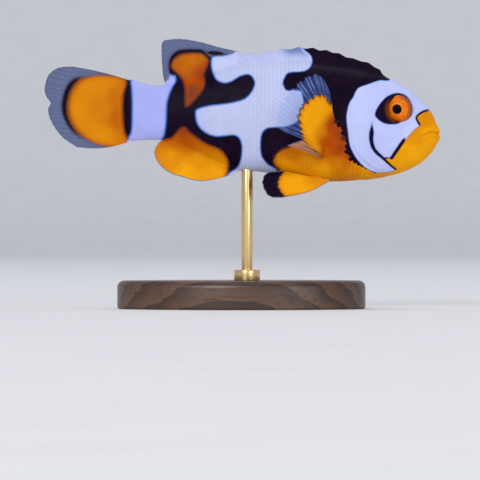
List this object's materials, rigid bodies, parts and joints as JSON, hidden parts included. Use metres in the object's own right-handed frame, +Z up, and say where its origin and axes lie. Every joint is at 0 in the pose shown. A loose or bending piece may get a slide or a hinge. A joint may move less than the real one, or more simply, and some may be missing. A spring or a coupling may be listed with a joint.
{
  "type": "clownfish display model",
  "caption": "Still, life-size model of a swimming clownfish, white with black and orange patches, held by a rod on a flat oval base.",
  "frame": {"origin": "middle of the underside of the base, under the middle of the whole model", "axes": "+X towards the fish's snout, +Y towards the fish's left side, +Z up"},
  "size_m": [0.0705, 0.029, 0.0479],
  "materials": {
    "skin": "satin scaled skin, white with black and orange patches",
    "fins": "thin ribbed fins, orange and black with greyish clear edges",
    "eyes": "glossy eye with an orange iris and a black pupil",
    "base_wood": "oiled dark walnut",
    "stand_brass": "satin brass"
  },
  "bodies": {
    "root": {"head": "skin", "trunk": "skin", "tail_stalk": "skin", "dorsal_fin_spiny": "fins", "dorsal_fin_soft": "fins", "anal_fin": "fins", "caudal_fin": "fins", "pectoral_fin_right": "fins", "pectoral_fin_left": "fins", "pelvic_fin_right": "fins", "pelvic_fin_left": "fins", "eye_right": "eyes", "eye_left": "eyes", "stand_base": "base_wood", "stand_rod": "stand_brass", "stand_collar": "stand_brass"}
  },
  "joints": []
}
